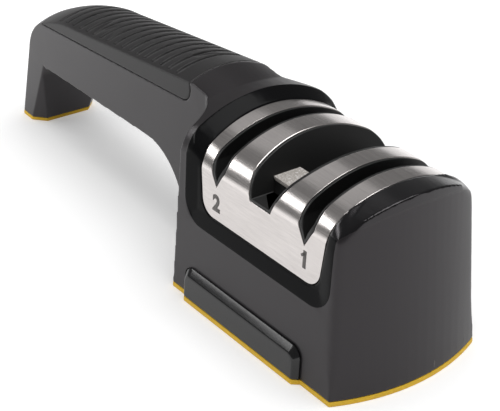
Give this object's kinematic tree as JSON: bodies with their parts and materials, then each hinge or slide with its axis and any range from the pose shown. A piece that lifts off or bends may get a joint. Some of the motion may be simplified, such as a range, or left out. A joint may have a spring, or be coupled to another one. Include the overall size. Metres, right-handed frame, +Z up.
{
  "type": "knife sharpener",
  "caption": "Hand-held pull-through knife sharpener: block with sprung abrasive slots under a bent steel cover, grit pad and bridge handle on a rear leg",
  "frame": {"origin": "on the table, under the middle of the whole part", "axes": "+X towards the nose, +Y across, +Z up"},
  "size_m": [0.2249, 0.0634, 0.0634],
  "materials": {
    "housing": "fine texture",
    "grip": "matt",
    "trim": "gloss",
    "steel": "brushed",
    "insert": "satin",
    "grit": "gritty",
    "pad": "matt",
    "frame": "moulded",
    "arm": "moulded",
    "coarse_abrasive": "gritty",
    "fine_abrasive": "fired",
    "hardware": "plated"
  },
  "bodies": {
    "sharpener": {"main_housing": "housing", "handle_cover": "housing", "grip_pad": "grip", "bezel": "trim", "steel_cover": "steel", "guide_insert": "insert", "pad_holder": "insert", "grit_plate": "grit", "side_plaque_right": "trim", "side_plaque_left": "trim", "bottom_plate": "frame", "base_pad": "pad", "foot_pad": "pad", "coarse_frame": "frame", "coarse_pins": "hardware", "coarse_spring_rear": "hardware", "coarse_spring_front": "hardware", "fine_frame": "frame", "fine_pins": "hardware", "fine_spring_rear": "hardware", "fine_spring_front": "hardware", "base_screws": "hardware", "frame_screws": "hardware", "handle_screws": "hardware"},
    "coarse_rear": {"coarse_arm_rear": "arm", "coarse_plate_rear": "coarse_abrasive"},
    "coarse_front": {"coarse_arm_front": "arm", "coarse_plate_front": "coarse_abrasive"},
    "fine_rear": {"fine_arm_rear": "arm", "fine_rod_rear": "fine_abrasive"},
    "fine_front": {"fine_arm_front": "arm", "fine_rod_front": "fine_abrasive"}
  },
  "joints": [
    {"name": "coarse_rear_hinge", "type": "hinge", "parent": "sharpener", "child": "coarse_rear", "pos_m": [0.08446, 0.0029, 0.024], "axis": [0, -1, 0], "range_deg": [0, 6], "stiffness_Nm_per_rad": 0.12, "springref_deg": -2.86, "deforming": ["coarse_spring_rear"]},
    {"name": "coarse_front_hinge", "type": "hinge", "parent": "sharpener", "child": "coarse_front", "pos_m": [0.09546, -0.0029, 0.024], "axis": [0, 1, 0], "range_deg": [0, 6], "stiffness_Nm_per_rad": 0.12, "springref_deg": -2.86, "deforming": ["coarse_spring_front"]},
    {"name": "fine_rear_hinge", "type": "hinge", "parent": "sharpener", "child": "fine_rear", "pos_m": [0.04446, 0.0029, 0.024], "axis": [0, -1, 0], "range_deg": [0, 6], "stiffness_Nm_per_rad": 0.12, "springref_deg": -2.86, "deforming": ["fine_spring_rear"]},
    {"name": "fine_front_hinge", "type": "hinge", "parent": "sharpener", "child": "fine_front", "pos_m": [0.05546, -0.0029, 0.024], "axis": [0, 1, 0], "range_deg": [0, 6], "stiffness_Nm_per_rad": 0.12, "springref_deg": -2.86, "deforming": ["fine_spring_front"]}
  ]
}
